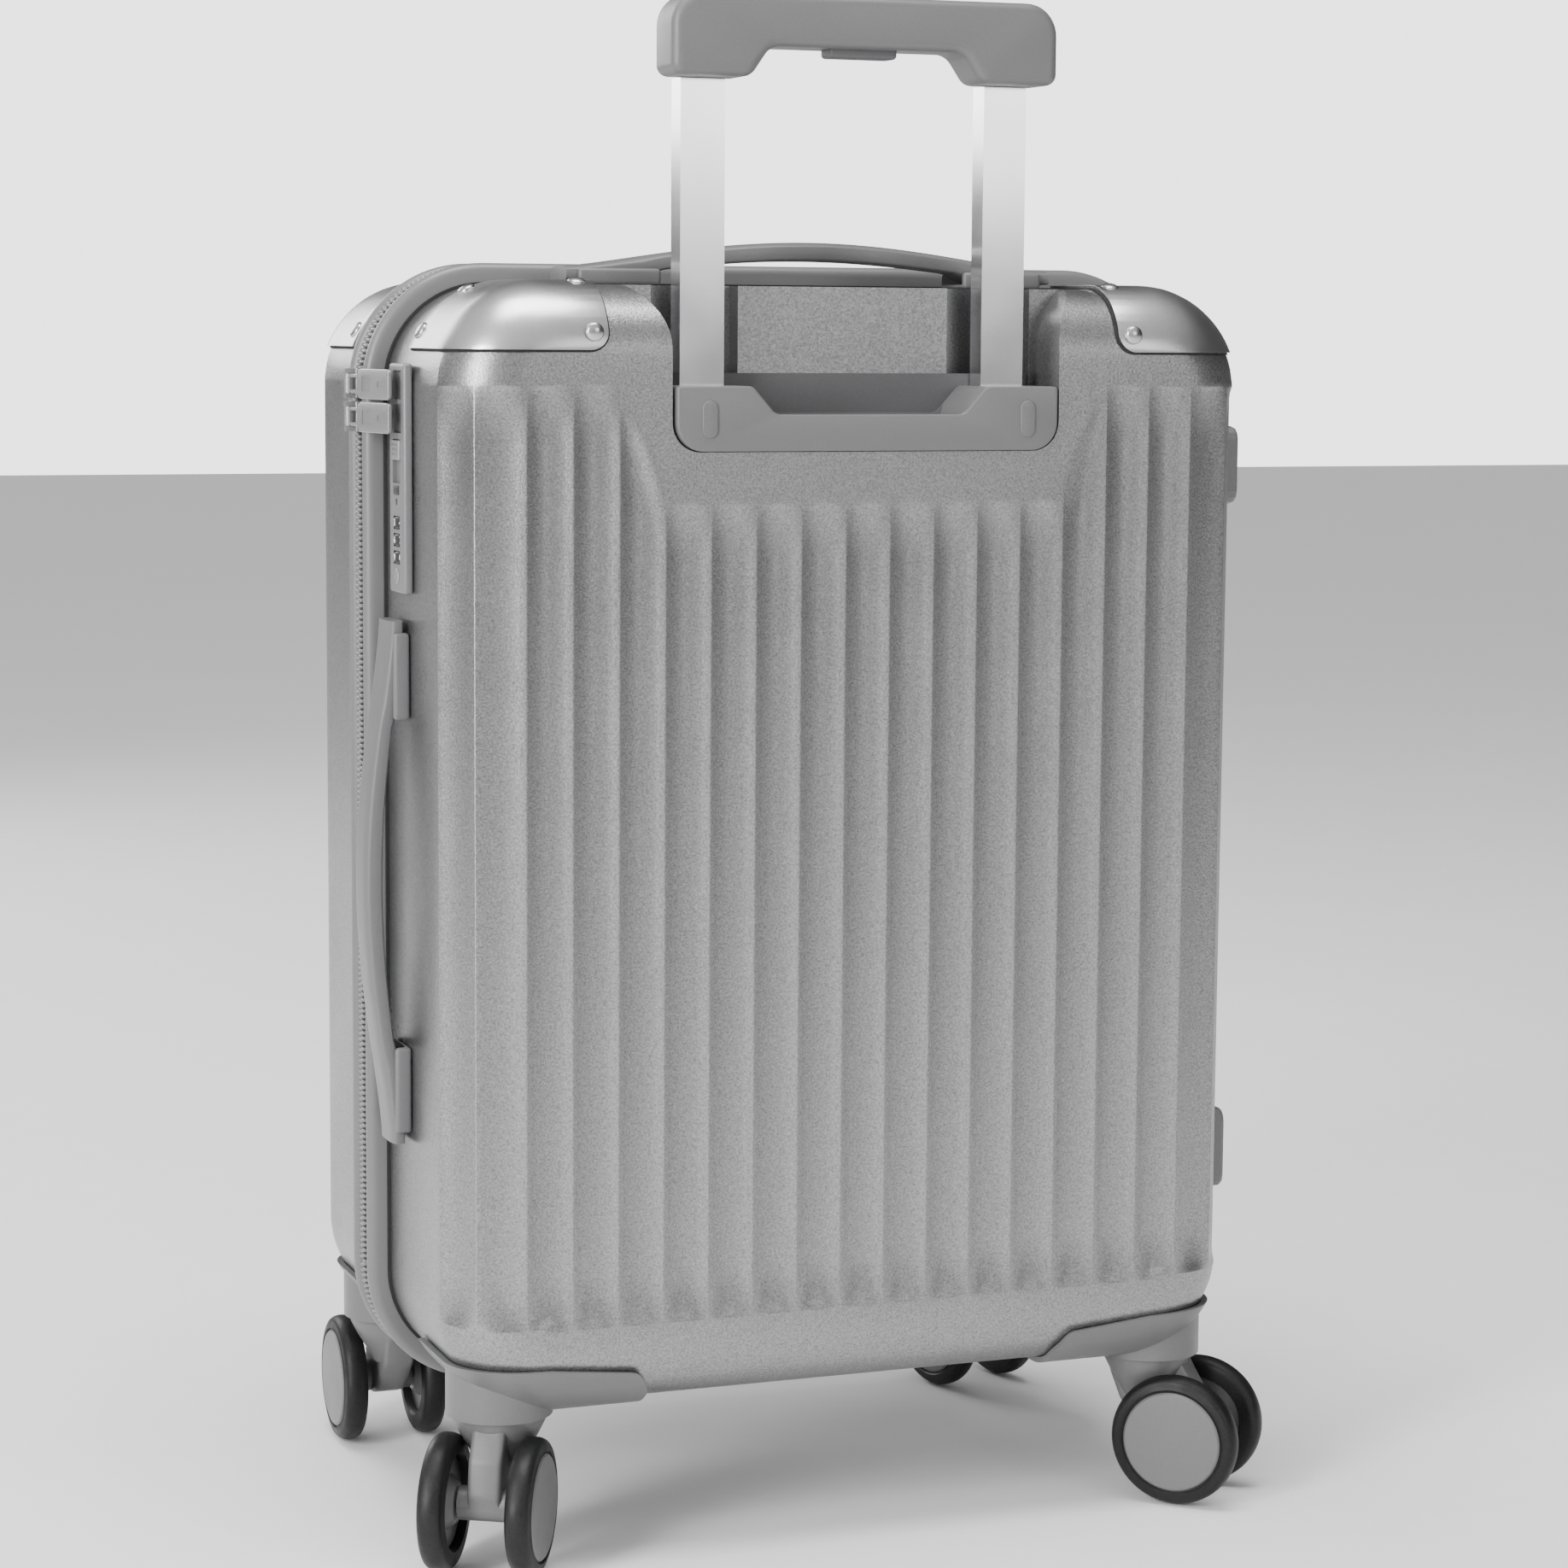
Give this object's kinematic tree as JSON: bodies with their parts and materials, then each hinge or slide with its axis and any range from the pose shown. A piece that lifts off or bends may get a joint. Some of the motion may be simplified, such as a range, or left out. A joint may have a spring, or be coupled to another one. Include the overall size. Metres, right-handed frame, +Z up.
{
  "type": "hard shell suitcase on wheels",
  "caption": "Upright hard shell cabin suitcase with vertical flutes, zip seam, recessed telescopic trolley, carry handles, dial lock and swivelling twin-wheel casters.",
  "frame": {"origin": "bottom centre of the bounding box, on the floor under the wheels", "axes": "+Z up, -Y towards the trolley handle side, +X towards the side with the two feet and the lid hinge"},
  "size_m": [0.4145, 0.2883, 0.677],
  "materials": {
    "shell": "brushed metallic silver polycarbonate",
    "rim": "woven zip tape and piping",
    "lining": "plain woven lining",
    "trim": "fine grained grey",
    "tube": "satin anodised",
    "guard": "polished",
    "lock": "satin grey",
    "dial": "matte black",
    "pull": "satin gunmetal",
    "wheel": "matte black tyre on a plastic hub"
  },
  "bodies": {
    "back_half": {"back_shell": "shell", "back_rim": "rim", "back_lining": "lining", "trolley_bezel": "trim", "outer_tube_left": "tube", "outer_tube_right": "tube", "corner_guard_bl": "guard", "corner_guard_br": "guard", "caster_housing_bl": "trim", "caster_housing_br": "trim", "lock_housing": "lock", "dial_shaft": "lock", "side_handle_bracket_a": "trim", "side_handle_bracket_b": "trim", "top_handle_bracket_a": "trim", "top_handle_bracket_b": "trim", "side_foot_upper": "trim", "side_foot_lower": "trim", "zip_slider_upper": "pull"},
    "lid": {"front_shell": "shell", "front_rim": "rim", "front_lining": "lining", "corner_guard_fl": "guard", "corner_guard_fr": "guard", "caster_housing_fl": "trim", "caster_housing_fr": "trim"},
    "mid_stage": {"mid_tube_left": "tube", "mid_tube_right": "tube"},
    "handle_stage": {"inner_tube_left": "tube", "inner_tube_right": "tube", "trolley_grip": "trim"},
    "release_button": {"release_button": "dial"},
    "side_handle": {"side_handle_strap": "trim"},
    "top_handle": {"top_handle_strap": "trim"},
    "dial_1": {"lock_dial_1": "dial"},
    "dial_2": {"lock_dial_2": "dial"},
    "dial_3": {"lock_dial_3": "dial"},
    "lock_slider": {"lock_slider": "lock"},
    "pull_upper": {"pull_tab_upper": "pull"},
    "zip_lower": {"zip_slider_lower": "pull"},
    "pull_lower": {"pull_tab_lower": "pull"},
    "fork_bl": {"caster_fork_bl": "trim"},
    "fork_br": {"caster_fork_br": "trim"},
    "fork_fl": {"caster_fork_fl": "trim"},
    "fork_fr": {"caster_fork_fr": "trim"},
    "wheel_bl_a": {"wheel_bl_a": "wheel"},
    "wheel_bl_b": {"wheel_bl_b": "wheel"},
    "wheel_br_a": {"wheel_br_a": "wheel"},
    "wheel_br_b": {"wheel_br_b": "wheel"},
    "wheel_fl_a": {"wheel_fl_a": "wheel"},
    "wheel_fl_b": {"wheel_fl_b": "wheel"},
    "wheel_fr_a": {"wheel_fr_a": "wheel"},
    "wheel_fr_b": {"wheel_fr_b": "wheel"}
  },
  "joints": [
    {"name": "lid_hinge", "type": "hinge", "parent": "back_half", "child": "lid", "pos_m": [0.199, 0, 0.31175], "axis": [0, 0, -1], "range_deg": [0, 180]},
    {"name": "mid_stage_slide", "type": "slide", "parent": "back_half", "child": "mid_stage", "axis": [0, 0, 1], "range_m": [0, 0.22]},
    {"name": "handle_stage_slide", "type": "slide", "parent": "mid_stage", "child": "handle_stage", "axis": [0, 0, 1], "range_m": [-0.127, 0.12]},
    {"name": "release_button_press", "type": "slide", "parent": "handle_stage", "child": "release_button", "axis": [0, 0, 1], "range_m": [0, 0.003], "stiffness_N_per_m": 400, "springref_m": -0.001},
    {"name": "side_handle_pull", "type": "slide", "parent": "back_half", "child": "side_handle", "axis": [-1, 0, 0], "range_m": [0, 0.01], "stiffness_N_per_m": 400, "springref_m": -0.003},
    {"name": "top_handle_pull", "type": "slide", "parent": "back_half", "child": "top_handle", "axis": [0, 0, 1], "range_m": [0, 0.01], "stiffness_N_per_m": 400, "springref_m": -0.003},
    {"name": "dial_1_turn", "type": "hinge", "parent": "back_half", "child": "dial_1", "pos_m": [-0.1835, -0.05, 0.452], "axis": [0, 0, 1], "continuous": true},
    {"name": "dial_2_turn", "type": "hinge", "parent": "back_half", "child": "dial_2", "pos_m": [-0.1835, -0.05, 0.4445], "axis": [0, 0, 1], "continuous": true},
    {"name": "dial_3_turn", "type": "hinge", "parent": "back_half", "child": "dial_3", "pos_m": [-0.1835, -0.05, 0.437], "axis": [0, 0, 1], "continuous": true},
    {"name": "lock_slider_slide", "type": "slide", "parent": "back_half", "child": "lock_slider", "axis": [0, 0, -1], "range_m": [0, 0.008], "stiffness_N_per_m": 100, "springref_m": -0.001},
    {"name": "pull_upper_swing", "type": "hinge", "parent": "back_half", "child": "pull_upper", "pos_m": [-0.2005, -0.007, 0.5112], "axis": [0, 0, -1], "range_deg": [0, 120]},
    {"name": "zip_lower_slide", "type": "slide", "parent": "back_half", "child": "zip_lower", "axis": [0, 0, -1], "range_m": [0, 0.07]},
    {"name": "pull_lower_swing", "type": "hinge", "parent": "zip_lower", "child": "pull_lower", "pos_m": [-0.2005, -0.007, 0.4968], "axis": [0, 0, -1], "range_deg": [0, 120]},
    {"name": "swivel_bl", "type": "hinge", "parent": "back_half", "child": "fork_bl", "pos_m": [-0.157, -0.09, 0.0655], "axis": [0, 0, 1], "continuous": true},
    {"name": "roll_bl_a", "type": "hinge", "parent": "fork_bl", "child": "wheel_bl_a", "pos_m": [-0.1672, -0.1072, 0.03], "axis": [0.8601, -0.5101, 0], "continuous": true},
    {"name": "roll_bl_b", "type": "hinge", "parent": "fork_bl", "child": "wheel_bl_b", "pos_m": [-0.1672, -0.1072, 0.03], "axis": [0.8601, -0.5101, 0], "continuous": true},
    {"name": "swivel_br", "type": "hinge", "parent": "back_half", "child": "fork_br", "pos_m": [0.157, -0.09, 0.0655], "axis": [0, 0, 1], "continuous": true},
    {"name": "roll_br_a", "type": "hinge", "parent": "fork_br", "child": "wheel_br_a", "pos_m": [0.17144, -0.10384, 0.03], "axis": [0.6919, 0.722, 0], "continuous": true},
    {"name": "roll_br_b", "type": "hinge", "parent": "fork_br", "child": "wheel_br_b", "pos_m": [0.17144, -0.10384, 0.03], "axis": [0.6919, 0.722, 0], "continuous": true},
    {"name": "swivel_fl", "type": "hinge", "parent": "lid", "child": "fork_fl", "pos_m": [-0.157, 0.09, 0.0655], "axis": [0, 0, 1], "continuous": true},
    {"name": "roll_fl_a", "type": "hinge", "parent": "fork_fl", "child": "wheel_fl_a", "pos_m": [-0.1566, 0.11, 0.03], "axis": [-0.9998, 0.02, 0], "continuous": true},
    {"name": "roll_fl_b", "type": "hinge", "parent": "fork_fl", "child": "wheel_fl_b", "pos_m": [-0.1566, 0.11, 0.03], "axis": [-0.9998, 0.02, 0], "continuous": true},
    {"name": "swivel_fr", "type": "hinge", "parent": "lid", "child": "fork_fr", "pos_m": [0.157, 0.09, 0.0655], "axis": [0, 0, 1], "continuous": true},
    {"name": "roll_fr_a", "type": "hinge", "parent": "fork_fr", "child": "wheel_fr_a", "pos_m": [0.15215, 0.1094, 0.03], "axis": [-0.9701, -0.2425, 0], "continuous": true},
    {"name": "roll_fr_b", "type": "hinge", "parent": "fork_fr", "child": "wheel_fr_b", "pos_m": [0.15215, 0.1094, 0.03], "axis": [-0.9701, -0.2425, 0], "continuous": true}
  ]
}
